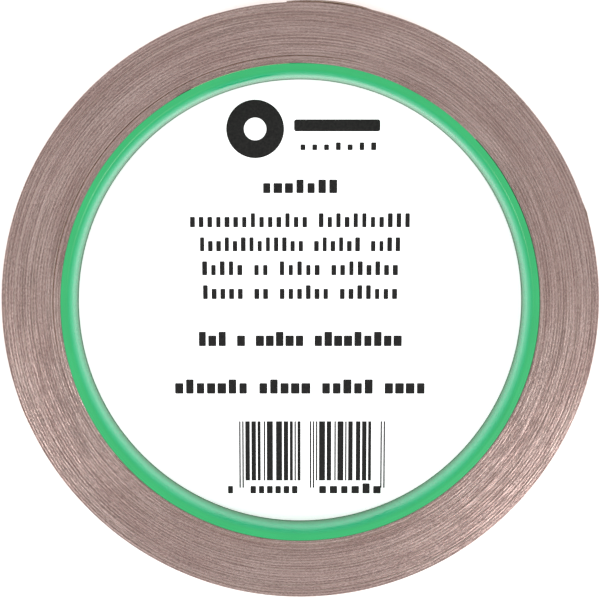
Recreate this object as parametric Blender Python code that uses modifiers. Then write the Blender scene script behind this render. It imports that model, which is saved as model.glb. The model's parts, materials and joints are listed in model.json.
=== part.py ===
"""Copper foil tape roll: a plastic core ring, a wound three-layer tape with a free end, and a label card.

The roll lies flat. Its axis is +Z, its back face is at z = 0, and the origin is the centre of that face.
The tape is a copper foil with a black adhesive coat on its inner face and a paper release liner under that.
It is wound anticlockwise from the core outwards. About seventy real turns are gathered into a few thick
ones, which thin down to the real tape over the innermost and the outermost turn, so that the core fit, the
outside and the free end have their real size and each layer has its real volume.
"""

import math

import bmesh
import bpy

MM = 0.001
FULL_TURN = 2 * math.pi

# Driving dimensions of the roll.
TAPE_WIDTH = 5.6 * MM
TAPE_LENGTH = 20.0
ROLL_RADIUS = 49.6 * MM
CORE_BORE_RADIUS = 38.1 * MM
CORE_WALL = 1.7 * MM
CORE_BACK_EDGE_RADIUS = 0.2 * MM
CORE_RIM_EDGE_RADIUS = 0.1 * MM

# At the front, the wall of the bore flares out to the face in a quarter of an ellipse.
CORE_FLARE_WIDTH = 0.9 * MM
CORE_FLARE_HEIGHT = 1.8 * MM

# The layers of the tape: the liner takes what the foil and the adhesive leave.
FOIL_THICKNESS = 0.032 * MM
ADHESIVE_THICKNESS = 0.030 * MM
LAYER_GAP = 0.008 * MM

# The free end: where the tape leaves the roll, where it bends, and where it stops.
LIFT_ANGLE = math.radians(76.5)
BEND_ANGLE = math.radians(82.0)
PEEL_ANGLE = math.radians(87.5)
TIP_ANGLE = math.radians(92.5)
HINGE_GAP = 0.15 * MM

# The free end bulges off the turn beneath it, most before its middle, and almost comes back at its tip.
TAIL_BULGE = 0.28 * MM
TAIL_BULGE_REACH = 0.93
TAIL_BULGE_SKEW = 0.73

# The gathered turns.
GATHERED_TURNS = 7
SEGMENTS_PER_TURN = 60
SEGMENT_ANGLE = FULL_TURN / SEGMENTS_PER_TURN
TAIL_SEGMENT_ANGLE = math.radians(1.0)

# The starter tab, between the core and the first turn.
TAB_THICKNESS = 0.06 * MM
TAB_CLEARANCE = 0.02 * MM
TAB_ANGLE = 4 * SEGMENT_ANGLE
TAB_INSET = 0.2 * MM

# The label card, just inside the back of the core.
CARD_THICKNESS = 0.3 * MM
CARD_RECESS = 0.05 * MM
CARD_CLEARANCE = 0.1 * MM

# Worked out from the dimensions above.
CORE_RADIUS = CORE_BORE_RADIUS + CORE_WALL
FIRST_TURN_RADIUS = CORE_RADIUS + TAB_THICKNESS + 2 * TAB_CLEARANCE
TAPE_THICKNESS = math.pi * (ROLL_RADIUS**2 - FIRST_TURN_RADIUS**2) / TAPE_LENGTH
LINER_THICKNESS = TAPE_THICKNESS - FOIL_THICKNESS - ADHESIVE_THICKNESS
GATHERED_PITCH = (ROLL_RADIUS - FIRST_TURN_RADIUS - 2 * TAPE_THICKNESS) / (GATHERED_TURNS - 1)

# Each layer's lowest and highest place in the tape's thickness, as fractions.
LINER_TOP = LINER_THICKNESS / TAPE_THICKNESS
ADHESIVE_TOP = LINER_TOP + ADHESIVE_THICKNESS / TAPE_THICKNESS
LINER = (0.0, LINER_TOP)
ADHESIVE = (LINER_TOP, ADHESIVE_TOP)
FOIL = (ADHESIVE_TOP, 1.0)


def clear_scene():
    for obj in list(bpy.data.objects):
        bpy.data.objects.remove(obj, do_unlink=True)


def make_collection(name):
    collection = bpy.data.collections.new(name)
    bpy.context.scene.collection.children.link(collection)
    return collection


def make_material(name, colour, roughness, metallic=0.0):
    material = bpy.data.materials.new(name)
    material.use_nodes = True
    shader = material.node_tree.nodes["Principled BSDF"]
    shader.inputs["Base Color"].default_value = (*colour, 1.0)
    shader.inputs["Roughness"].default_value = roughness
    shader.inputs["Metallic"].default_value = metallic
    material.diffuse_color = (*colour, 1.0)
    return material


def wound_angle(polar_angle):
    """How far round the whole winding the outermost turn is at this polar angle."""
    return GATHERED_TURNS * FULL_TURN - (TIP_ANGLE - polar_angle)


def inner_radius(wound):
    """The tape's inner face, where the winding has turned through this angle."""
    turns = wound / FULL_TURN
    if turns < 1:
        return FIRST_TURN_RADIUS + TAPE_THICKNESS * turns
    return FIRST_TURN_RADIUS + TAPE_THICKNESS + GATHERED_PITCH * (turns - 1)


def outer_radius(wound):
    """The tape's outer face, where the winding has turned through this angle."""
    turns = wound / FULL_TURN
    last = GATHERED_TURNS - 1
    if turns < last:
        return FIRST_TURN_RADIUS + TAPE_THICKNESS + GATHERED_PITCH * turns
    return FIRST_TURN_RADIUS + TAPE_THICKNESS * (1 + turns - last) + GATHERED_PITCH * last


def tail_lift(wound):
    """How far the free end stands off the turn beneath it."""
    start = wound_angle(LIFT_ANGLE)
    share = max(0.0, (wound - start) / (TIP_ANGLE - LIFT_ANGLE))
    return TAIL_BULGE * math.sin(math.pi * (TAIL_BULGE_REACH * share) ** TAIL_BULGE_SKEW)


def layer_point(wound, fraction, shift):
    """A point on a layer's face, at this fraction of the tape's thickness, moved outwards by shift."""
    low = inner_radius(wound)
    radius = low + fraction * (outer_radius(wound) - low) + tail_lift(wound) + shift
    polar = TIP_ANGLE + wound
    return (radius * math.cos(polar), radius * math.sin(polar))


def steps_between(start, end, step):
    """The start, each whole multiple of step before the end, and the end: all turns share one grid."""
    first = math.floor(start / step + 1e-6) + 1
    last = math.ceil(end / step - 1e-6)
    return [start] + [index * step for index in range(first, last)] + [end]


def layer_outline(layer, angles):
    """A closed outline of one layer: out along its outer face and back along its inner face."""
    low, high = layer
    outer = [layer_point(wound, high, -LAYER_GAP / 2) for wound in angles]
    inner = [layer_point(wound, low, LAYER_GAP / 2) for wound in reversed(angles)]
    return outer + inner


def make_extruded(name, outline, low, high, material, collection):
    """A flat outline, filled and extruded from low to high along Z, as a mesh object."""
    curve = bpy.data.curves.new(name, "CURVE")
    curve.dimensions = "2D"
    curve.fill_mode = "BOTH"
    curve.extrude = (high - low) / 2
    spline = curve.splines.new("POLY")
    spline.points.add(len(outline) - 1)
    for point, (x, y) in zip(spline.points, outline):
        point.co = (x, y, 0.0, 1.0)
    spline.use_cyclic_u = True
    obj = bpy.data.objects.new(name, curve)
    obj.location.z = (low + high) / 2
    collection.objects.link(obj)
    curve.materials.append(material)
    return obj


def corner_points(x, z, width, height, start, steps=3):
    """Points along a quarter of an ellipse about (x, z), clockwise from a direction in degrees."""
    points = []
    for index in range(steps + 1):
        angle = math.radians(start - 90 * index / steps)
        points.append((x + width * math.cos(angle), z + height * math.sin(angle)))
    return points


def core_section():
    """The section of the core, as (x, z) points down its outer side and up the wall of its bore."""
    rim, back = CORE_RIM_EDGE_RADIUS, CORE_BACK_EDGE_RADIUS
    flare_x, flare_z = CORE_BORE_RADIUS + CORE_FLARE_WIDTH, TAPE_WIDTH - CORE_FLARE_HEIGHT
    return (
        corner_points(CORE_RADIUS - rim, TAPE_WIDTH - rim, rim, rim, 90)
        + corner_points(CORE_RADIUS - rim, rim, rim, rim, 0)
        + corner_points(CORE_BORE_RADIUS + back, back, back, back, -90)
        + corner_points(flare_x, flare_z, CORE_FLARE_WIDTH, CORE_FLARE_HEIGHT, -180, steps=6)
    )


def make_turned_ring(name, section, material, collection):
    """A closed section turned a full circle about Z, with its facets in line with those of the winding."""
    mesh = bpy.data.meshes.new(name)
    edges = [(index, (index + 1) % len(section)) for index in range(len(section))]
    mesh.from_pydata([(x, 0.0, z) for x, z in section], edges, [])
    obj = bpy.data.objects.new(name, mesh)
    obj.rotation_euler.z = TIP_ANGLE
    collection.objects.link(obj)
    mesh.materials.append(material)
    screw = obj.modifiers.new("turn", "SCREW")
    screw.axis = "Z"
    screw.angle = FULL_TURN
    screw.steps = SEGMENTS_PER_TURN
    screw.render_steps = SEGMENTS_PER_TURN
    screw.use_merge_vertices = True
    screw.merge_threshold = 0.00001
    screw.use_smooth_shade = True
    return obj


def make_disc(name, radius, low, high, material, collection):
    """A round plate, with its facets in line with those of the core."""
    mesh = bpy.data.meshes.new(name)
    shape = bmesh.new()
    bmesh.ops.create_cone(
        shape,
        cap_ends=True,
        segments=SEGMENTS_PER_TURN,
        radius1=radius,
        radius2=radius,
        depth=high - low,
    )
    shape.to_mesh(mesh)
    shape.free()
    obj = bpy.data.objects.new(name, mesh)
    obj.location.z = (low + high) / 2
    obj.rotation_euler.z = TIP_ANGLE
    collection.objects.link(obj)
    mesh.materials.append(material)
    return obj


def make_layers(names, layers, start, end, step, materials, parent, collection):
    """The named layers of the tape, from one wound angle to another, under the given parent."""
    for name, layer, material in zip(names, layers, materials):
        outline = layer_outline(layer, steps_between(start, end, step))
        obj = make_extruded(name, outline, 0.0, TAPE_WIDTH, material, collection)
        place_under(obj, parent)


def place_under(obj, parent):
    """Parents an object without moving it."""
    if parent is None:
        return
    obj.parent = parent
    obj.matrix_parent_inverse = parent.matrix_world.inverted()


def make_hinge(name, wound, parent, collection):
    """An empty on the upright axis that the next stretch of tape turns about: the foil's outer corner."""
    x, y = layer_point(wound, 1.0, -LAYER_GAP / 2)
    hinge = bpy.data.objects.new(name, None)
    hinge.empty_display_size = TAPE_WIDTH
    hinge.location = (x, y, 0.0)
    collection.objects.link(hinge)
    bpy.context.view_layer.update()
    place_under(hinge, parent)
    bpy.context.view_layer.update()
    return hinge


def make_starter_tab(material, collection):
    """The patch that holds the tape's inner end on the core, under the start of the first turn."""
    low = CORE_RADIUS + TAB_CLEARANCE
    angles = [TIP_ANGLE + wound for wound in steps_between(0.0, TAB_ANGLE, SEGMENT_ANGLE)]
    outer = [(low + TAB_THICKNESS, angle) for angle in angles]
    inner = [(low, angle) for angle in reversed(angles)]
    outline = [(radius * math.cos(angle), radius * math.sin(angle)) for radius, angle in outer + inner]
    make_extruded("starter_tab", outline, TAB_INSET, TAPE_WIDTH - TAB_INSET, material, collection)


def make_core(material, collection):
    make_turned_ring("core_ring", core_section(), material, collection)


def make_label_card(material, collection):
    radius = CORE_BORE_RADIUS - CARD_CLEARANCE
    make_disc("label_card", radius, CARD_RECESS, CARD_RECESS + CARD_THICKNESS, material, collection)


def make_tape(collection):
    """The wound tape, and its free end in three hinged stretches, the last of foil and adhesive only."""
    foil = make_material("copper foil", (0.72, 0.38, 0.27), 0.3, 1.0)
    adhesive = make_material("black adhesive", (0.02, 0.02, 0.02), 0.7)
    liner = make_material("liner paper", (0.62, 0.53, 0.42), 0.8)
    layers = (FOIL, ADHESIVE, LINER)
    materials = (foil, adhesive, liner)

    lift, bend, peel = (wound_angle(angle) for angle in (LIFT_ANGLE, BEND_ANGLE, PEEL_ANGLE))
    tip = wound_angle(TIP_ANGLE)
    gap = HINGE_GAP / ROLL_RADIUS

    names = ("copper_foil", "adhesive_coat", "release_liner")
    make_layers(names, layers, 0.0, lift - gap, SEGMENT_ANGLE, materials, None, collection)

    lift_hinge = make_hinge("tail_lift_axis", lift, None, collection)
    names = ("tail_foil", "tail_adhesive", "tail_liner")
    make_layers(names, layers, lift, bend - gap, TAIL_SEGMENT_ANGLE, materials, lift_hinge, collection)

    bend_hinge = make_hinge("tail_bend_axis", bend, lift_hinge, collection)
    names = ("tip_foil", "tip_adhesive")
    make_layers(names, layers, bend, peel - gap, TAIL_SEGMENT_ANGLE, materials, bend_hinge, collection)
    make_layers(("tip_liner",), (LINER,), bend, tip, TAIL_SEGMENT_ANGLE, (liner,), bend_hinge, collection)

    peel_hinge = make_hinge("foil_peel_axis", peel, bend_hinge, collection)
    names = ("flap_foil", "flap_adhesive")
    make_layers(names, layers, peel, tip, TAIL_SEGMENT_ANGLE, materials, peel_hinge, collection)


def main():
    clear_scene()
    collection = make_collection("copper_foil_tape_roll")
    make_core(make_material("green core plastic", (0.05, 0.52, 0.18), 0.4), collection)
    make_label_card(make_material("label card", (0.9, 0.9, 0.9), 0.8), collection)
    make_starter_tab(make_material("starter tab film", (0.75, 0.7, 0.55), 0.5), collection)
    make_tape(collection)


main()
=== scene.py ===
"""Copper foil tape roll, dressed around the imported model: the whole winding turn by turn, the free end of
the tape, the green core, the white card with its generic print, soft studio light and the camera."""

import json
import math
import random
from functools import partial

import bmesh
import bpy
import numpy as np
from mathutils import Matrix, Vector


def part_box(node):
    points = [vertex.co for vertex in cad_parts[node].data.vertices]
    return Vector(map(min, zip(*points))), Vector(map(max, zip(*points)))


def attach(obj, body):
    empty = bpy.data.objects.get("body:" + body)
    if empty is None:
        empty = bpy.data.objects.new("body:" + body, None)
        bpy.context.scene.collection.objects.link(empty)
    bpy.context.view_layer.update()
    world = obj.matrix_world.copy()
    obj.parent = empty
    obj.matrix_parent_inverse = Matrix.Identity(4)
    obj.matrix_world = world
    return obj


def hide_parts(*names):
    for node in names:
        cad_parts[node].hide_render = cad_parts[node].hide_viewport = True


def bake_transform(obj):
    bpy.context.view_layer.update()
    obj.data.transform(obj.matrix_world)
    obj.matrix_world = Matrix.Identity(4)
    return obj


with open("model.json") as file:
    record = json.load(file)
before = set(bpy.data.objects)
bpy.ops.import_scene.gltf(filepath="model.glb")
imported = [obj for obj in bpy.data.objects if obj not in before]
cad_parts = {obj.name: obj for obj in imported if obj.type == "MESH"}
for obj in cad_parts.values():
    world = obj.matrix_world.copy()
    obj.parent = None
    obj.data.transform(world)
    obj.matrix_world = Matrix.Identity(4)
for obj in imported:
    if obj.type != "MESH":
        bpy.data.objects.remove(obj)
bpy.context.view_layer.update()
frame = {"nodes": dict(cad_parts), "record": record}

MM = 0.001
TURN = 2 * math.pi

# The tape's length and its layers. The liner takes what the foil and the adhesive leave.
TAPE_LENGTH = 20.0
FOIL = 0.032 * MM
ADHESIVE = 0.030 * MM
AIR = 0.010 * MM

# How far the tape's edge strays from its middle place, over groups of turns and from turn to turn.
EDGE_DRIFT = 0.045 * MM
EDGE_WANDER = 0.050 * MM
DRIFT_EVERY = 17.0
WANDER_EVERY = 0.85

# Facets of each turn of the winding, and of the free end.
STEPS_PER_TURN = 160
TAIL_STEP = math.radians(0.25)

# On the core and the card, the straight bit beside a rounded edge that keeps the shading of the flats even.
EDGE_LEAD = 0.03 * MM

# The free end stands off the turn beneath it, most before its middle.
TAIL_BULGE = 0.28 * MM
TAIL_BULGE_REACH = 0.93
TAIL_BULGE_SKEW = 0.73

# Small gaps: between the card and the bore, between the first turn and the core, and under the whole roll.
CARD_GAP = 0.03 * MM
CORE_GAP = 0.012 * MM
FLOOR_GAP = 0.02 * MM


def radii(node):
    """The smallest and the largest distance from the axis of a CAD node's corners."""
    found = [math.hypot(v.co.x, v.co.y) for v in frame["nodes"][node].data.vertices]
    return min(found), max(found)


def joint_point(name):
    joint = next(joint for joint in frame["record"]["behaviour"]["joints"] if joint["name"] == name)
    return Vector(joint["pos_m"])


def polar_angle(point):
    return math.atan2(point[1], point[0])


def angle_span(node):
    """The polar angles between which a CAD node lies."""
    found = [polar_angle(v.co) for v in frame["nodes"][node].data.vertices]
    return min(found), max(found)


BORE_RADIUS, CORE_RADIUS = radii("core_ring")
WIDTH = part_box("core_ring")[1][2]
CARD_LOW, CARD_HIGH = (corner[2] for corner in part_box("label_card"))
CARD_RADIUS = BORE_RADIUS - CARD_GAP
FIRST_RADIUS = radii("release_liner")[0]
LIFT_ANGLE, BEND_ANGLE, PEEL_ANGLE = (
    polar_angle(joint_point(name)) for name in ("tail_lift", "tail_bend", "foil_peel")
)
TIP_ANGLE = max(polar_angle(v.co) for v in frame["nodes"]["flap_foil"].data.vertices)
ROLL_RADIUS = radii("copper_foil")[1]
PITCH = math.pi * (ROLL_RADIUS**2 - FIRST_RADIUS**2) / TAPE_LENGTH
TURNS = (ROLL_RADIUS - FIRST_RADIUS) / PITCH
LINER = PITCH - FOIL - ADHESIVE - AIR

# The first turn lies closer to the core than on the CAD node, and this many turns take the difference up.
# It stays clear of the starter film, whose span is widened by a margin and a fade in degrees.
SNUG_RADIUS = CORE_RADIUS + CORE_GAP
SNUG_TURNS = 14
TAB_SPAN = angle_span("starter_tab")
TAB_MARGIN = 1
TAB_FADE = 6


# ---------------------------------------------------------------- the shape of the winding


def smooth(value, low, high):
    share = np.clip((value - low) / (high - low), 0.0, 1.0)
    return share * share * (3 - 2 * share)


def angle_from(polar, centre):
    """The signed angle from centre to polar, from minus half a turn to half a turn."""
    return (polar - centre + math.pi) % TURN - math.pi


def window(polar, start, end, fade):
    """1 between two polar angles in degrees, fading to 0 outside them."""
    middle = math.radians((start + end) / 2)
    half = math.radians((end - start) / 2)
    return 1 - smooth(np.abs(angle_from(polar, middle)), half, half + math.radians(fade))


# Places where the winding is loose: the turn it opens at, its polar span and fade in degrees, its height.
LOOSE_PLACES = (
    (8, 84, 182, 14, 0.150 * MM),
    (6, 244, 292, 12, 0.060 * MM),
    (21, 20, 75, 20, 0.035 * MM),
    (34, 150, 215, 25, 0.030 * MM),
    (45, 290, 350, 25, 0.035 * MM),
    (58, 95, 140, 20, 0.030 * MM),
)
LOOSENESS_FADES_OVER = 40.0

# Small kinks in the outermost turn: polar angle and half width in degrees, height. Each fades out a little
# beyond its half width.
KINKS = ((18, 1.6, 0.17 * MM), (107.5, 1.2, 0.12 * MM), (201, 2.0, 0.07 * MM))
KINK_REACH = 1.6


def looseness(wound, polar):
    """Each loose place opens at one turn, and the turns outside it close it again little by little."""
    total = np.zeros_like(wound)
    for first, start, end, fade, height in LOOSE_PLACES:
        passed_middle_at = wound - angle_from(polar, math.radians((start + end) / 2))
        turns = passed_middle_at / TURN
        shut = smooth(turns, first, min(first + LOOSENESS_FADES_OVER, TURNS - 2))
        total += height * (turns >= first) * (1 - shut) * window(polar, start, end, fade)
    return total


def snugness(wound, polar):
    """How much closer to the core the first turns lie, but for where they rise over the starter film."""
    low, high = (math.degrees(angle) for angle in TAB_SPAN)
    settled = 1 - smooth(wound / TURN, 0.0, SNUG_TURNS)
    over_tab = window(polar, low - TAB_MARGIN, high + TAB_MARGIN, TAB_FADE)
    return (FIRST_RADIUS - SNUG_RADIUS) * settled * (1 - over_tab)


def kinks(wound, polar):
    """The outermost turn stands off the one beneath it here and there."""
    outermost = wound > (TURNS - 1) * TURN
    total = np.zeros_like(wound)
    for centre, half, height in KINKS:
        away = np.abs(angle_from(polar, math.radians(centre))) / math.radians(half)
        total += height * outermost * (1 - smooth(away, 0.0, KINK_REACH))
    return total


def bulge(wound):
    """How far the free end stands off."""
    last = TURNS * TURN
    span = TIP_ANGLE - LIFT_ANGLE
    share = np.clip((wound - last + span) / span, 0.0, 1.0)
    return TAIL_BULGE * np.sin(math.pi * (TAIL_BULGE_REACH * share) ** TAIL_BULGE_SKEW)


def inner_face(wound):
    """The radius of the tape's inner face, after it has wound through this angle."""
    polar = polar_of(wound)
    spiral = FIRST_RADIUS + PITCH * wound / TURN
    return spiral - snugness(wound, polar) + looseness(wound, polar) + kinks(wound, polar) + bulge(wound)


def polar_of(wound):
    return TIP_ANGLE + wound - TURNS * TURN


def wander(wound, every, seed):
    """A smooth random value from -1 to 1, with a new level each time the tape has wound so far."""
    levels = np.random.default_rng(seed).uniform(-1, 1, int(TURNS * TURN / every) + 3)
    place = wound / every
    before = np.floor(place).astype(int)
    share = smooth(place - before, 0.0, 1.0)
    return levels[before] * (1 - share) + levels[before + 1] * share


def edge_shift(wound):
    """How far the tape lies to one side, which leaves each turn a little above or below its neighbour."""
    return EDGE_DRIFT * wander(wound, DRIFT_EVERY, 3) + EDGE_WANDER * wander(wound, WANDER_EVERY, 8)


def wound_at(polar):
    """The wound angle at which the outermost turn passes this polar angle."""
    return TURNS * TURN - (TIP_ANGLE - polar)


def grid(start, end, step):
    """Wound angles from start to end, on one grid for all turns, counted back from the tip."""
    last = TURNS * TURN
    first = math.floor((last - start) / step - 1e-6)
    final = math.ceil((last - end) / step + 1e-6)
    inside = [last - index * step for index in range(first, final - 1, -1)]
    return np.array([start] + inside + [end])


# ---------------------------------------------------------------- meshes


def mesh_from(name, vertices, faces, face_slots, materials):
    mesh = bpy.data.meshes.new(name)
    mesh.from_pydata(vertices, [], faces)
    for material in materials:
        mesh.materials.append(material)
    mesh.polygons.foreach_set("material_index", face_slots)
    mesh.shade_smooth()
    mesh.set_sharp_from_angle(angle=math.radians(35))
    mesh.update()
    return mesh


def add_piece(name, mesh):
    piece = bpy.data.objects.new(name, mesh)
    bpy.context.scene.collection.objects.link(piece)
    return piece


def strip_mesh(name, wound, inner_depth, outer_depth, setback, materials):
    """One layer of the tape: a closed strip between two depths, measured from the tape's inner face. Its
    edges stay back from the tape's by setback. They take the second material, its faces the first."""
    base = inner_face(wound)
    polar = polar_of(wound)
    shift = edge_shift(wound)
    margin = EDGE_DRIFT + EDGE_WANDER
    low = margin + shift + setback
    high = WIDTH - margin + shift - setback
    corners = ((inner_depth, low), (inner_depth, high), (outer_depth, high), (outer_depth, low))
    rings = []
    for depth, height in corners:
        radius = base + depth
        rings.append(np.stack([radius * np.cos(polar), radius * np.sin(polar), height], axis=1))
    vertices = np.stack(rings, axis=1).reshape(-1, 3)
    count = len(wound)
    faces, slots = [], []
    for side, slot in ((0, 0), (1, 1), (2, 0), (3, 1)):
        near = np.arange(count - 1) * 4 + side
        far = np.arange(count - 1) * 4 + (side + 1) % 4
        faces.append(np.stack([near, far, far + 4, near + 4], axis=1))
        slots.append(np.full(count - 1, slot))
    faces = np.concatenate(faces).tolist()
    last = (count - 1) * 4
    faces += [[3, 2, 1, 0], [last, last + 1, last + 2, last + 3]]
    slots = np.concatenate(slots).tolist() + [1, 1]
    return mesh_from(name, vertices.tolist(), faces, slots, materials)


def turned_mesh(name, profile, material, steps=288):
    """A profile of (radius, height) points turned about the axis: closed, or from the axis back to it."""
    shape = bmesh.new()
    rings = []
    for radius, height in profile:
        if radius < 1e-7:
            rings.append([shape.verts.new((0, 0, height))])
            continue
        ring = []
        for index in range(steps):
            angle = TURN * index / steps
            ring.append(shape.verts.new((radius * math.cos(angle), radius * math.sin(angle), height)))
        rings.append(ring)
    closed = len(rings[0]) > 1
    for upper, lower in zip(rings, rings[1:] + rings[: int(closed)]):
        for index in range(steps):
            after = (index + 1) % steps
            if len(upper) == 1:
                corners = (upper[0], lower[index], lower[after])
            elif len(lower) == 1:
                corners = (upper[index], lower[0], upper[after])
            else:
                corners = (upper[index], lower[index], lower[after], upper[after])
            shape.faces.new(corners)
    bmesh.ops.recalc_face_normals(shape, faces=shape.faces)
    mesh = bpy.data.meshes.new(name)
    shape.to_mesh(mesh)
    shape.free()
    mesh.materials.append(material)
    mesh.shade_smooth()
    mesh.set_sharp_from_angle(angle=math.radians(50))
    return mesh


def arc(x, z, radius, start, end, steps=5, lead=0.0, stretch=1.0):
    """Points of a rounded corner, from one direction in degrees to another. A lead adds a point on the
    straight before and after it, which keeps the shading of the flats even. Stretch makes it an ellipse."""
    points = []
    for index in range(steps + 1):
        angle = math.radians(start + (end - start) * index / steps)
        points.append((x + radius * math.cos(angle), z + stretch * radius * math.sin(angle)))
    if lead:
        first, last = math.radians(start), math.radians(end)
        sense = math.copysign(lead, end - start)
        (near_x, near_z), (far_x, far_z) = points[0], points[-1]
        points.insert(0, (near_x + sense * math.sin(first), near_z - sense * math.cos(first)))
        points.append((far_x - sense * math.sin(last), far_z + sense * math.cos(last)))
    return points


# ---------------------------------------------------------------- materials

# The strength of the white card's painted glow: light it gives off though it is no lamp.
CARD_PAINTED_GLOW = 0.24

# The distance from one group of lighter turns to the next, on the tape's edge; their lightness is a painted
# highlight.
RHYTHM = 0.47 * MM

# The paint of the bore's wall, paler and bluer than the face as a painted reflection, runs over to that of
# the face between these distances from the wall, and darkens towards the card as painted shade between these
# heights above it.
WALL_TO_FACE = (0.05 * MM, 0.65 * MM)
WALL_SHADE = (0.3 * MM, 2.6 * MM)


class Nodes:
    """A short way to write a node tree around one Principled shader."""

    def __init__(self, name):
        self.material = bpy.data.materials.new(name)
        self.material.use_nodes = True
        self.tree = self.material.node_tree
        self.shader = self.tree.nodes["Principled BSDF"]

    def set(self, **values):
        for name, value in values.items():
            self.shader.inputs[self.socket(name)].default_value = value

    @staticmethod
    def socket(name):
        return name.replace("_", " ").title().replace("Ior", "IOR")

    def node(self, kind, settings=None, **inputs):
        node = self.tree.nodes.new(kind)
        for name, value in (settings or {}).items():
            setattr(node, name, value)
        for name, value in inputs.items():
            self.feed(node.inputs[name.replace("_", " ")], value)
        return node

    def feed(self, socket, value):
        if isinstance(value, bpy.types.NodeSocket):
            self.tree.links.new(value, socket)
        else:
            socket.default_value = value

    def math(self, operation, first, second=0.0, clamp=False):
        node = self.tree.nodes.new("ShaderNodeMath")
        node.operation = operation
        node.use_clamp = clamp
        self.feed(node.inputs[0], first)
        self.feed(node.inputs[1], second)
        return node.outputs[0]

    def vector(self, operation, first, second=(0, 0, 0), scale=1.0):
        node = self.tree.nodes.new("ShaderNodeVectorMath")
        node.operation = operation
        self.feed(node.inputs[0], first)
        self.feed(node.inputs[1], second)
        if operation == "SCALE":
            self.feed(node.inputs["Scale"], scale)
        return node.outputs["Value" if operation in ("LENGTH", "DOT_PRODUCT") else "Vector"]

    def place(self):
        """The point on the object, in metres."""
        return self.node("ShaderNodeTexCoord").outputs["Object"]

    def noise(self, vector, scale, detail=2.0, roughness=0.5):
        settings = {"Vector": vector, "Scale": scale, "Detail": detail, "Roughness": roughness}
        return self.node("ShaderNodeTexNoise", **settings).outputs["Fac"]

    def spread(self, value, low, high, new_low, new_high):
        node = self.tree.nodes.new("ShaderNodeMapRange")
        for socket, number in zip(node.inputs, (value, low, high, new_low, new_high)):
            self.feed(socket, number)
        return node.outputs[0]

    def blend(self, share, first, second):
        node = self.tree.nodes.new("ShaderNodeMix")
        node.data_type = "RGBA"
        self.feed(node.inputs[0], share)
        self.feed(node.inputs[6], first)
        self.feed(node.inputs[7], second)
        return node.outputs[2]

    def bump(self, height, strength, distance, normal=None):
        node = self.node("ShaderNodeBump", Height=height, Strength=strength, Distance=distance)
        if normal is not None:
            self.feed(node.inputs["Normal"], normal)
        return node.outputs["Normal"]

    def connect(self, **sockets):
        for name, value in sockets.items():
            self.feed(self.shader.inputs[self.socket(name)], value)


def radius_and_direction(nodes):
    flat = nodes.vector("MULTIPLY", nodes.place(), (1.0, 1.0, 0.0))
    return nodes.vector("LENGTH", flat), nodes.vector("NORMALIZE", flat)


def streak_vector(nodes, along, across):
    """Coordinates that change slowly round the roll and quickly with its radius, with no seam."""
    radius, direction = radius_and_direction(nodes)
    round_part = nodes.vector("SCALE", direction, scale=along)
    height = nodes.math("MULTIPLY", radius, across)
    upward = nodes.node("ShaderNodeCombineXYZ", Z=height).outputs[0]
    return nodes.vector("ADD", round_part, upward)


def edge_material(name, dark, light, roughness, metallic, tilt):
    """The cut edge of one layer: long streaks and lines that follow the turns, a rhythm of narrow crests
    painted lighter as a painted highlight, dashes and specks on them, and ridges that tilt the surface in
    and out."""
    nodes = Nodes(name)
    radius, direction = radius_and_direction(nodes)
    by_turn = nodes.noise(streak_vector(nodes, 0.8, 7200.0), 1.0, 2.0, 0.6)
    by_line = nodes.noise(streak_vector(nodes, 3.5, 3700.0), 1.0, 1.0, 0.5)
    by_dash = nodes.noise(streak_vector(nodes, 14.0, 6500.0), 1.0, 1.0, 0.5)
    by_speck = nodes.noise(streak_vector(nodes, 110.0, 11000.0), 1.0, 1.0, 0.5)
    patches = nodes.noise(streak_vector(nodes, 3.0, 280.0), 1.0, 2.0, 0.5)
    phase = nodes.math("MULTIPLY", patches, 6.0)
    waves = nodes.math("MULTIPLY", radius, TURN / RHYTHM)
    rhythm = nodes.math("SINE", nodes.math("ADD", waves, phase))
    # Painted highlight: the crests are painted lighter, as edges that stand proud would catch the light.
    crest_highlights = nodes.math("POWER", nodes.spread(rhythm, -1.0, 1.0, 0.0, 1.0), 3.0)

    mixed = nodes.math("MULTIPLY", crest_highlights, 0.115)
    for value, weight in ((by_turn, 0.26), (by_line, 0.28), (by_dash, 0.16), (by_speck, 0.30)):
        mixed = nodes.math("ADD", mixed, nodes.math("MULTIPLY", value, weight))
    share = nodes.spread(mixed, 0.435, 0.635, 0.0, 1.0)
    colour = nodes.blend(share, (*dark, 1.0), (*light, 1.0))
    ruddy = (1.05 * dark[0], 0.72 * dark[1], 0.72 * dark[2], 1.0)
    colour = nodes.blend(nodes.spread(patches, 0.35, 0.65, 0.0, 0.22), colour, ruddy)

    slant = nodes.math("MULTIPLY", rhythm, 0.22 * tilt)
    for value, weight in ((by_line, 0.26), (by_dash, 0.55), (by_speck, 0.55)):
        slant = nodes.math("ADD", slant, nodes.spread(value, 0.2, 0.8, -weight * tilt, weight * tilt))
    normal = nodes.node("ShaderNodeNewGeometry").outputs["Normal"]
    leaning = nodes.vector("ADD", normal, nodes.vector("SCALE", direction, scale=slant))
    rough = nodes.spread(by_speck, 0.3, 0.7, roughness - 0.06, roughness + 0.08)
    nodes.set(metallic=metallic)
    nodes.connect(base_color=colour, roughness=rough, normal=nodes.vector("NORMALIZE", leaning))
    return nodes.material


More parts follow.
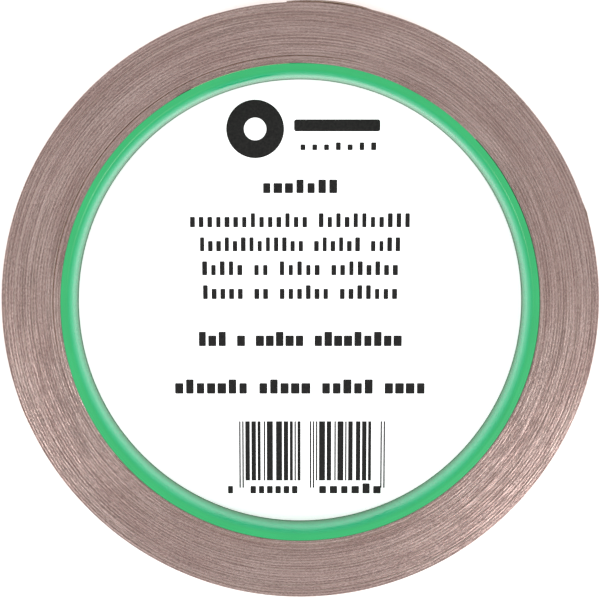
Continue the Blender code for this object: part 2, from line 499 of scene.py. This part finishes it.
def copper_face_material():
    """The rolled copper face: fine lines along the tape, faint stains and a soft waviness."""
    nodes = Nodes("rolled_copper")
    place = nodes.place()
    lines = nodes.vector("MULTIPLY", place, (40.0, 40.0, 9000.0))
    rolled = nodes.noise(lines, 1.0, 3.0, 0.6)
    stains = nodes.noise(place, 160.0, 4.0, 0.6)
    waves = nodes.noise(place, 90.0, 1.0, 0.4)
    share = nodes.math("MULTIPLY", nodes.spread(stains, 0.35, 0.7, 0.0, 1.0), 0.6)
    bright = nodes.blend(share, (0.61, 0.275, 0.17, 1.0), (0.42, 0.17, 0.10, 1.0))
    colour = nodes.blend(nodes.spread(rolled, 0.3, 0.7, 0.0, 0.35), bright, (0.80, 0.44, 0.32, 1.0))
    dulled = nodes.math("MULTIPLY", stains, 0.10)
    rough = nodes.math("ADD", nodes.spread(rolled, 0.3, 0.7, 0.16, 0.27), dulled)
    wavy = nodes.bump(waves, 0.35, 0.0006)
    lined = nodes.bump(rolled, 0.12, 0.00002, wavy)
    nodes.set(metallic=1.0, anisotropic=0.4)
    nodes.connect(base_color=colour, roughness=rough, normal=lined)
    return nodes.material


def adhesive_material():
    nodes = Nodes("black_adhesive")
    place = nodes.place()
    pores = nodes.noise(place, 5200.0, 3.0, 0.6)
    clouds = nodes.noise(place, 300.0, 3.0, 0.5)
    colour = nodes.blend(clouds, (0.012, 0.012, 0.013, 1.0), (0.035, 0.033, 0.032, 1.0))
    nodes.connect(
        base_color=colour,
        roughness=nodes.spread(pores, 0.3, 0.7, 0.28, 0.50),
        normal=nodes.bump(pores, 0.25, 0.00003),
    )
    return nodes.material


def liner_face_material():
    """Release paper: short fibres and a faint silicone gloss."""
    nodes = Nodes("release_paper")
    place = nodes.place()
    fibres = nodes.noise(nodes.vector("MULTIPLY", place, (2600.0, 2600.0, 1500.0)), 1.0, 5.0, 0.7)
    clouds = nodes.noise(place, 420.0, 3.0, 0.6)
    share = nodes.math("ADD", nodes.math("MULTIPLY", fibres, 0.6), nodes.math("MULTIPLY", clouds, 0.4))
    share = nodes.spread(share, 0.35, 0.65, 0.0, 1.0)
    colour = nodes.blend(share, (0.62, 0.54, 0.42, 1.0), (0.80, 0.74, 0.63, 1.0))
    nodes.connect(
        base_color=colour,
        roughness=nodes.spread(fibres, 0.3, 0.7, 0.38, 0.55),
        normal=nodes.bump(fibres, 0.3, 0.00003),
    )
    return nodes.material


def core_material():
    """Extruded green plastic: faint flow marks round the ring and a fine moulded grain. The wall of the bore
    is painted paler and bluer than the flat faces as a painted reflection, and darkens towards the card as
    painted shade."""
    nodes = Nodes("green_core_plastic")
    place = nodes.place()
    marks = nodes.noise(streak_vector(nodes, 5.0, 2600.0), 1.0, 3.0, 0.55)
    clouds = nodes.noise(place, 110.0, 3.0, 0.5)
    grain = nodes.noise(place, 5200.0, 2.0, 0.6)
    share = nodes.math("ADD", nodes.math("MULTIPLY", marks, 0.4), nodes.math("MULTIPLY", clouds, 0.6))
    share = nodes.spread(share, 0.35, 0.65, 0.0, 1.0)
    face = nodes.blend(share, (0.009, 0.297, 0.090, 1.0), (0.012, 0.330, 0.103, 1.0))
    radius, _ = radius_and_direction(nodes)
    height = nodes.node("ShaderNodeSeparateXYZ", Vector=place).outputs["Z"]
    # Painted reflection and painted shade: the wall's pale, bluer colour stands in for its reflection of the
    # white card, and its dark foot for the shade towards the card.
    above_card = nodes.spread(height, CARD_HIGH + WALL_SHADE[0], CARD_HIGH + WALL_SHADE[1], 0.0, 1.0)
    wall = nodes.blend(above_card, (0.004, 0.150, 0.045, 1.0), (0.012, 0.385, 0.172, 1.0))
    wall_end, face_start = (BORE_RADIUS + distance for distance in WALL_TO_FACE)
    in_bore = nodes.spread(radius, wall_end, face_start, 1.0, 0.0)
    colour = nodes.blend(in_bore, face, wall)
    rough = nodes.spread(grain, 0.3, 0.7, 0.20, 0.27)
    fine = nodes.bump(grain, 0.15, 0.00002)
    nodes.set(specular_ior_level=0.42)
    nodes.connect(base_color=colour, roughness=rough, normal=nodes.bump(marks, 0.12, 0.00004, fine))
    return nodes.material


def card_material():
    """Coated white card with a faint paper grain. It glows with painted light of its own, though it is no
    lamp.
    """
    nodes = Nodes("white_card")
    place = nodes.place()
    fibres = nodes.noise(nodes.vector("MULTIPLY", place, (2400.0, 1300.0, 2000.0)), 1.0, 5.0, 0.65)
    clouds = nodes.noise(place, 130.0, 3.0, 0.5)
    share = nodes.spread(clouds, 0.3, 0.7, 0.0, 1.0)
    colour = nodes.blend(share, (0.91, 0.91, 0.905, 1.0), (0.95, 0.95, 0.95, 1.0))
    # Painted light: the card glows, which keeps it white up to the bore's wall and lights that wall too.
    nodes.set(emission_color=(0.96, 0.98, 1.0, 1.0), emission_strength=CARD_PAINTED_GLOW)
    nodes.connect(
        base_color=colour,
        roughness=nodes.spread(fibres, 0.3, 0.7, 0.48, 0.62),
        normal=nodes.bump(fibres, 0.12, 0.00002),
    )
    return nodes.material


def ink_material():
    """Black print with slightly uneven cover."""
    nodes = Nodes("black_print")
    place = nodes.place()
    cover = nodes.noise(place, 2400.0, 4.0, 0.6)
    share = nodes.spread(cover, 0.35, 0.75, 0.0, 1.0)
    colour = nodes.blend(share, (0.006, 0.006, 0.006, 1.0), (0.018, 0.017, 0.016, 1.0))
    nodes.set(specular_ior_level=0.1)
    nodes.connect(
        base_color=colour,
        roughness=nodes.spread(cover, 0.3, 0.7, 0.42, 0.58),
        normal=nodes.bump(cover, 0.1, 0.00001),
    )
    return nodes.material


def tab_material():
    """Clear-yellow adhesive film."""
    nodes = Nodes("starter_film")
    place = nodes.place()
    creases = nodes.noise(place, 700.0, 4.0, 0.6)
    colour = nodes.blend(creases, (0.62, 0.55, 0.36, 1.0), (0.78, 0.72, 0.52, 1.0))
    nodes.connect(
        base_color=colour,
        roughness=nodes.spread(creases, 0.3, 0.7, 0.25, 0.4),
        normal=nodes.bump(creases, 0.2, 0.00004),
    )
    return nodes.material


# ---------------------------------------------------------------- the pieces


def make_core(material):
    """The ring. At the front, the wall of its bore flares out to the face, as on the CAD node."""
    rim, back, flare, flare_height = 0.04 * MM, 0.2 * MM, 0.9 * MM, 1.8 * MM
    corner = partial(arc, lead=EDGE_LEAD)
    profile = (
        corner(CORE_RADIUS - rim, WIDTH - rim, rim, 90, 0)
        + corner(CORE_RADIUS - rim, rim, rim, 0, -90)
        + corner(BORE_RADIUS + back, back, back, -90, -180)
        + corner(BORE_RADIUS + flare, WIDTH - flare_height, flare, 180, 90, 16, stretch=flare_height / flare)
    )
    core = add_piece("core", turned_mesh("core", profile, material))
    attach(core, "roll")
    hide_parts("core_ring")


def make_card(material):
    edge = 0.08 * MM
    corner = partial(arc, steps=3, lead=EDGE_LEAD)
    profile = (
        [(0.0, CARD_HIGH)]
        + corner(CARD_RADIUS - edge, CARD_HIGH - edge, edge, 90, 0)
        + corner(CARD_RADIUS - edge, CARD_LOW + edge, edge, 0, -90)
        + [(0.0, CARD_LOW)]
    )
    card = add_piece("card", turned_mesh("card", profile, material))
    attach(card, "roll")
    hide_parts("label_card")


def make_tab(material):
    """The film under the first turn, bent to the core."""
    low, high = radii("starter_tab")
    start, end = TAB_SPAN
    bottom, top = (corner[2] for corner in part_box("starter_tab"))
    steps = 48
    vertices, faces = [], []
    for index in range(steps + 1):
        angle = start + (end - start) * index / steps
        for radius, height in ((low, bottom), (low, top), (high, top), (high, bottom)):
            vertices.append((radius * math.cos(angle), radius * math.sin(angle), height))
    for index in range(steps):
        near = index * 4
        for side in range(4):
            after = (side + 1) % 4
            faces.append((near + side, near + after, near + 4 + after, near + 4 + side))
    last = steps * 4
    faces += [(3, 2, 1, 0), (last, last + 1, last + 2, last + 3)]
    mesh = mesh_from("starter_film", vertices, faces, [0] * len(faces), [material])
    tab = add_piece("starter_film", mesh)
    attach(tab, "roll")
    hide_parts("starter_tab")


def tape_layers():
    """Each layer of the tape: its name, its record slot, its depths from the inner face, how far its edges
    stay back, and its materials for faces and edges."""
    copper_edge = edge_material(
        "copper_edge",
        dark=(0.38, 0.225, 0.19),
        light=(0.83, 0.615, 0.55),
        roughness=0.26,
        metallic=1.0,
        tilt=0.11,
    )
    adhesive = adhesive_material()
    paper_edge = edge_material(
        "paper_edge",
        dark=(0.075, 0.052, 0.050),
        light=(0.235, 0.172, 0.168),
        roughness=0.26,
        metallic=0.0,
        tilt=0.15,
    )
    foil_low = LINER + ADHESIVE
    return (
        ("foil", "foil", foil_low, foil_low + FOIL, 0.0, (copper_face_material(), copper_edge)),
        ("adhesive", "adhesive", LINER, foil_low, 0.012 * MM, (adhesive, adhesive)),
        ("liner", "liner", 0.0, LINER, 0.004 * MM, (liner_face_material(), paper_edge)),
    )


def make_stretch(name, layer, start, end, step):
    """One layer of the tape from one wound angle to another."""
    _, slot, low, high, setback, materials = layer
    mesh = strip_mesh(name, grid(start, end, step), low, high, setback, materials)
    return add_piece(name, mesh)


def bend_at(piece):
    """Bakes the piece's transform into its mesh."""
    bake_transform(piece)


def make_tape():
    lift, bend, peel = (wound_at(angle) for angle in (LIFT_ANGLE, BEND_ANGLE, PEEL_ANGLE))
    tip = TURNS * TURN
    nodes = {"foil": "copper_foil", "adhesive": "adhesive_coat", "liner": "release_liner"}
    for layer in tape_layers():
        name = layer[0]
        winding = make_stretch(f"wound_{name}", layer, 0.0, lift, TURN / STEPS_PER_TURN)
        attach(winding, "roll")
        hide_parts(nodes[name])
        tail = make_stretch(f"free_{name}", layer, lift, bend, TAIL_STEP)
        bend_at(tail)
        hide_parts(f"tail_{name}")
        last = tip if name == "liner" else peel
        end = make_stretch(f"end_{name}", layer, bend, last, TAIL_STEP)
        bend_at(end)
        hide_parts(f"tip_{name}")
        if name == "liner":
            continue
        flap = make_stretch(f"peeled_{name}", layer, peel, tip, TAIL_STEP)
        bend_at(flap)
        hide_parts(f"flap_{name}")


# ---------------------------------------------------------------- the print on the card

PRINT_THICKNESS = 0.012 * MM
SUNK = 0.004 * MM

# The space between two words, in letters. The share of letters that are tall, and the height of the rest
# as a share of theirs.
WORD_SPACE = 0.9
TALL_CHANCE = 0.3
SHORT_HEIGHT = 0.74

# The lines of blocks: height above the card's middle and width in millimetres, letters in each word, the
# height of a tall letter in millimetres, and how much of its place a letter fills.
TEXT_LINES = (
    (20.15, 13.2, (7,), 2.3, 0.74),
    (14.4, 38.2, (14, 11), 2.4, 0.55),
    (10.3, 34.9, (13, 6, 4), 2.4, 0.55),
    (6.2, 34.2, (5, 2, 5, 8), 2.4, 0.55),
    (2.1, 34.0, (5, 2, 6, 7), 2.4, 0.55),
    (-6.0, 35.4, (3, 1, 5, 9), 2.5, 0.80),
    (-14.3, 43.7, (7, 5, 5, 4), 2.5, 0.80),
)

# The pattern of bars: its sides in millimetres, and how many of its narrowest bars fit between them.
BARS_LEFT, BARS_RIGHT = -10.6, 14.8
BARS_TOP, BARS_BOTTOM, LONG_BARS_BOTTOM = -20.4, -30.9, -32.2
BAR_MODULES = 95


def outline_prism(shape, outline):
    """A thin upright prism from an outline in millimetres, sunk a little into the card."""
    low, high = CARD_HIGH - SUNK, CARD_HIGH + PRINT_THICKNESS
    bottom = [shape.verts.new((x * MM, y * MM, low)) for x, y in outline]
    top = [shape.verts.new((x * MM, y * MM, high)) for x, y in outline]
    shape.faces.new(top)
    shape.faces.new(list(reversed(bottom)))
    for index in range(len(outline)):
        after = (index + 1) % len(outline)
        shape.faces.new((bottom[index], bottom[after], top[after], top[index]))


def rounded_box(x, y, width, height, rounding, steps=3):
    """An anticlockwise outline centred at x, y."""
    rounding = min(rounding, width / 2 - 0.001, height / 2 - 0.001)
    points = []
    for sign_x, sign_y, start in ((1, 1, 0), (-1, 1, 90), (-1, -1, 180), (1, -1, 270)):
        centre_x = x + sign_x * (width / 2 - rounding)
        centre_y = y + sign_y * (height / 2 - rounding)
        points += arc(centre_x, centre_y, rounding, start, start + 90, steps)
    return points


def block_row(shape, left, y, advance, count, height, weight, chance):
    """Small rounded blocks side by side, some of them taller than the rest."""
    for index in range(count):
        block_height = height * (1.0 if chance.random() < TALL_CHANCE else SHORT_HEIGHT)
        block_width = advance * weight * chance.uniform(0.88, 1.08)
        middle = left + (index + 0.5) * advance
        base = y - height / 2
        outline_prism(shape, rounded_box(middle, base + block_height / 2, block_width, block_height, 0.16))


def word_line(shape, y, width, words, height, weight, chance):
    """A centred line of placeholder words: one block stands for each letter."""
    advance = width / (sum(words) + WORD_SPACE * (len(words) - 1))
    left = -width / 2
    for count in words:
        block_row(shape, left, y, advance, count, height, weight, chance)
        left += advance * (count + WORD_SPACE)


def ring_prism(shape, outer, inner):
    """A thin upright prism between two outlines in millimetres that have as many points each."""
    low, high = CARD_HIGH - SUNK, CARD_HIGH + PRINT_THICKNESS
    rings = []
    for outline, height in ((outer, low), (outer, high), (inner, high), (inner, low)):
        rings.append([shape.verts.new((x * MM, y * MM, height)) for x, y in outline])
    for near, far in zip(rings, rings[1:] + rings[:1]):
        for index in range(len(outer)):
            after = (index + 1) % len(outer)
            shape.faces.new((near[index], near[after], far[after], far[index]))


def circle(x, y, radius, steps=72):
    angles = [TURN * index / steps for index in range(steps)]
    return [(x + radius * math.cos(angle), y + radius * math.sin(angle)) for angle in angles]


def roll_sign(shape, x, y):
    """A broad dark ring, as a sign for a roll."""
    ring_prism(shape, circle(x, y, 4.9), circle(x, y, 1.9))


def bar_pattern(shape, chance):
    """Upright bars of uneven width that encode nothing, between pairs of long thin bars, with rows of blocks
    under them."""
    module = (BARS_RIGHT - BARS_LEFT) / BAR_MODULES
    middle = (BARS_LEFT + BARS_RIGHT) / 2

    def bar(x, width, low):
        height = BARS_TOP - low
        outline_prism(shape, rounded_box(x + width / 2, low + height / 2, width, height, 0.02, 1))

    pairs = (BARS_LEFT, middle - 1.5 * module, BARS_RIGHT - 3 * module)
    for start in pairs:
        bar(start, module, LONG_BARS_BOTTOM)
        bar(start + 2 * module, module, LONG_BARS_BOTTOM)
    for start, end in zip(pairs, pairs[1:]):
        x = start + 4 * module
        while x < end - 5 * module:
            width = module * chance.choice((1, 2, 3, 3, 4))
            bar(x, width, BARS_BOTTOM)
            x += width + module * chance.choice((1, 1, 2))
    rows = ((BARS_LEFT - 2.3, 1, 1.5), (BARS_LEFT + 1.7, 6, 1.45), (middle + 0.9, 6, 1.9))
    for start, count, advance in rows:
        block_row(shape, start, -32.3, advance, count, height=1.8, weight=0.66, chance=chance)


def make_print(material):
    """Generic print in the places of a label's print: a sign, bars, and lines of blocks."""
    chance = random.Random(11)
    shape = bmesh.new()
    roll_sign(shape, -7.6, 29.8)
    outline_prism(shape, rounded_box(6.3, 30.4, 14.6, 2.0, 0.4))
    block_row(shape, -0.5, 26.9, advance=2.0, count=7, height=1.3, weight=0.42, chance=chance)
    for y, width, words, height, weight in TEXT_LINES:
        word_line(shape, y, width, words, height, weight, chance)
    bar_pattern(shape, chance)
    bmesh.ops.recalc_face_normals(shape, faces=shape.faces)
    mesh = bpy.data.meshes.new("card_print")
    shape.to_mesh(mesh)
    shape.free()
    mesh.materials.append(material)
    piece = add_piece("card_print", mesh)
    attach(piece, "roll")


# ---------------------------------------------------------------- studio


def make_floor():
    nodes = Nodes("studio_floor")
    place = nodes.place()
    clouds = nodes.noise(place, 6.0, 2.0, 0.5)
    colour = nodes.blend(clouds, (0.93, 0.93, 0.93, 1.0), (0.95, 0.95, 0.95, 1.0))
    nodes.set(roughness=0.7)
    nodes.connect(base_color=colour)
    size = 2.0
    mesh = bpy.data.meshes.new("floor")
    corners = [(-size, -size, 0), (size, -size, 0), (size, size, 0), (-size, size, 0)]
    mesh.from_pydata(corners, [], [(0, 1, 2, 3)])
    mesh.materials.append(nodes.material)
    floor = bpy.data.objects.new("floor", mesh)
    floor.location.z = -FLOOR_GAP
    bpy.context.scene.collection.objects.link(floor)


def area_light(name, direction, distance, size, power):
    """A square soft box that points at the origin, from an azimuth and an elevation in degrees."""
    azimuth, elevation = (math.radians(angle) for angle in direction)
    level = math.cos(elevation)
    offset = Vector((math.cos(azimuth) * level, math.sin(azimuth) * level, math.sin(elevation)))
    data = bpy.data.lights.new(name, "AREA")
    data.shape = "SQUARE"
    data.size = size
    data.energy = power
    light = bpy.data.objects.new(name, data)
    light.location = offset * distance
    light.rotation_euler = (-offset).to_track_quat("-Z", "Y").to_euler()
    bpy.context.scene.collection.objects.link(light)


def make_lights():
    """A white surround that is a little weaker on the side of -Y, and two soft boxes."""
    world = bpy.data.worlds.new("studio")
    bpy.context.scene.world = world
    world.use_nodes = True
    tree = world.node_tree
    direction = tree.nodes.new("ShaderNodeTexCoord").outputs["Generated"]
    sideways = tree.nodes.new("ShaderNodeSeparateXYZ")
    tree.links.new(direction, sideways.inputs[0])
    fall_off = tree.nodes.new("ShaderNodeMapRange")
    low_y, high_y, weak, strong = -0.8, 0.0, 1.05, 1.30
    for socket, number in zip(fall_off.inputs[1:5], (low_y, high_y, weak, strong)):
        socket.default_value = number
    tree.links.new(sideways.outputs["Y"], fall_off.inputs[0])
    tree.links.new(fall_off.outputs[0], tree.nodes["Background"].inputs["Strength"])
    tree.nodes["Background"].inputs["Color"].default_value = (1.0, 1.0, 1.0, 1.0)
    area_light("soft_box_left", (212, 54), distance=0.9, size=0.15, power=1.32)
    area_light("soft_box_right", (317, 54), distance=0.9, size=0.28, power=1.95)
    bpy.context.scene.view_settings.view_transform = "Standard"


def make_camera():
    """The view from almost straight above the front face, leaning towards the free end of the tape."""
    distance, lean, aim_off_axis = 148 * MM, math.radians(5.0), 1.16 * MM
    target = Vector((0.0, aim_off_axis, WIDTH))
    data = bpy.data.cameras.new("camera")
    data.sensor_width = 36.0
    data.lens = 53.45
    data.clip_start = 5 * MM
    camera = bpy.data.objects.new("camera", data)
    camera.location = (0.0, distance * math.sin(lean), WIDTH + distance * math.cos(lean))
    backward = (camera.location - target).normalized()
    right = Vector((0.0, 1.0, 0.0)).cross(backward).normalized()
    upward = backward.cross(right)
    camera.rotation_euler = Matrix((right, upward, backward)).transposed().to_euler()
    bpy.context.scene.collection.objects.link(camera)
    bpy.context.scene.camera = camera


make_camera()
make_lights()
make_floor()
make_core(core_material())
make_card(card_material())
make_tab(tab_material())
make_tape()
make_print(ink_material())
